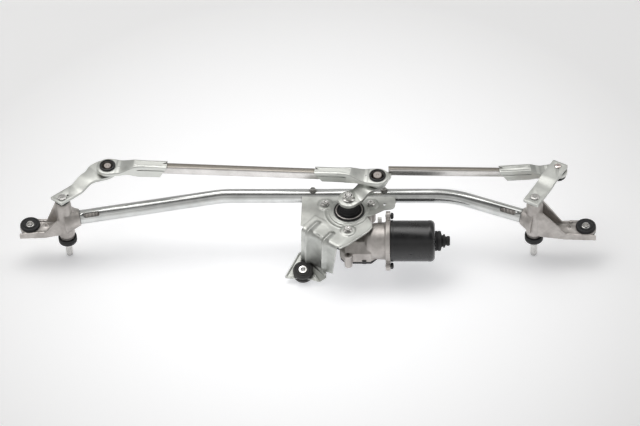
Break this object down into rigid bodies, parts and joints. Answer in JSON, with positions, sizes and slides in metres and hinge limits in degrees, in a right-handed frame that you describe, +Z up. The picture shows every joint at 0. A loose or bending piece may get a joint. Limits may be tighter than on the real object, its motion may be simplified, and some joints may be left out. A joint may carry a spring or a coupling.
{
  "type": "windshield wiper assembly",
  "caption": "Wiper drive frame: bent tube between two cast pivots, gear motor on a stamped bracket, crank and links that swing both pivot levers.",
  "frame": {"origin": "on the ground under the middle of the assembly's bounding box", "axes": "+X along the frame from the left pivot to the right pivot, +Y toward the side where the links run, +Z up, against the direction of the wiper shafts"},
  "size_m": [0.8624, 0.1554, 0.1485],
  "materials": {
    "zinc_steel": "satin zinc plate",
    "dull_zinc": "dull zinc plate",
    "cast_aluminium": "as cast",
    "bright_steel": "turned, bright",
    "black_paint": "satin gloss",
    "black_rubber": "matte",
    "black_plastic": "moulded",
    "bronze": "sintered",
    "gear_plastic": "moulded",
    "magnet": "ferrite",
    "copper": "drawn"
  },
  "bodies": {
    "frame": {"armature_core": "copper", "brush_plate": "black_plastic", "can_boot": "black_rubber", "commutator": "copper", "connector_pins": "copper", "cover_screw": "dull_zinc", "foot_grommet": "black_rubber", "foot_sleeve": "bright_steel", "frame_tube": "zinc_steel", "front_magnet": "magnet", "gear_cover": "black_plastic", "gear_housing": "cast_aluminium", "left_grommet": "black_rubber", "left_pivot_bush": "bronze", "left_pivot_housing": "cast_aluminium", "left_shaft_seal": "black_rubber", "left_sleeve": "bright_steel", "left_tube_screw": "dull_zinc", "lower_can_screw": "black_paint", "motor_bolt_1": "zinc_steel", "motor_bolt_2": "zinc_steel", "motor_bolt_3": "zinc_steel", "motor_can": "black_paint", "motor_plate": "zinc_steel", "output_bush": "bronze", "output_seal": "black_rubber", "rear_magnet": "magnet", "right_grommet": "black_rubber", "right_pivot_bush": "bronze", "right_pivot_housing": "cast_aluminium", "right_shaft_seal": "black_rubber", "right_sleeve": "bright_steel", "right_tube_screw": "dull_zinc", "upper_can_screw": "black_paint", "worm_shaft": "bright_steel"},
    "crank": {"output_shaft": "bright_steel", "worm_gear": "gear_plastic", "crank_arm": "zinc_steel", "crank_nut": "zinc_steel", "crank_ball_stud": "bright_steel"},
    "left_wiper_lever": {"left_lever": "zinc_steel", "left_pivot_shaft": "bright_steel", "left_thrust_washer": "black_plastic", "left_ball_stud": "bright_steel"},
    "right_wiper_lever": {"right_lever": "zinc_steel", "right_pivot_shaft": "bright_steel", "right_thrust_washer": "black_plastic", "right_ball_stud": "bright_steel"},
    "left_link": {"left_link_lever_end": "zinc_steel", "left_link_crank_end": "zinc_steel", "left_link_rod": "dull_zinc", "left_link_lever_socket": "black_plastic", "left_link_crank_socket": "black_plastic"},
    "right_link": {"right_link_lever_end": "zinc_steel", "right_link_rod": "dull_zinc", "right_link_crank_eye": "zinc_steel", "right_link_lever_socket": "black_plastic", "right_link_crank_socket": "black_plastic"}
  },
  "joints": [
    {"name": "crank_hinge", "type": "hinge", "parent": "frame", "child": "crank", "pos_m": [0.0649, -0.00165, 0.12], "axis": [0, 0, 1], "range_deg": [-10, 60]},
    {"name": "left_pivot_hinge", "type": "hinge", "parent": "frame", "child": "left_wiper_lever", "pos_m": [-0.3611, 0.00135, 0.12], "axis": [0, 0, 1], "range_deg": [-6.6, 39.4]},
    {"name": "right_pivot_hinge", "type": "hinge", "parent": "frame", "child": "right_wiper_lever", "pos_m": [0.3389, 0.00135, 0.12], "axis": [0, 0, 1], "range_deg": [-5.8, 34.3]},
    {"name": "left_link_hinge", "type": "hinge", "parent": "left_wiper_lever", "child": "left_link", "pos_m": [-0.2954, 0.04787, 0.137], "axis": [0, 0, 1], "range_deg": [-40.3, 6.8]},
    {"name": "right_link_hinge", "type": "hinge", "parent": "right_wiper_lever", "child": "right_link", "pos_m": [0.37416, 0.06367, 0.1105], "axis": [0, 0, 1], "range_deg": [-37.6, 6.3]}
  ],
  "couplings": [
    {"joint": "left_pivot_hinge", "follows": "crank_hinge", "ratio": 0.655},
    {"joint": "right_pivot_hinge", "follows": "crank_hinge", "ratio": 0.57},
    {"joint": "left_link_hinge", "follows": "crank_hinge", "ratio": -0.67},
    {"joint": "right_link_hinge", "follows": "crank_hinge", "ratio": -0.625}
  ]
}
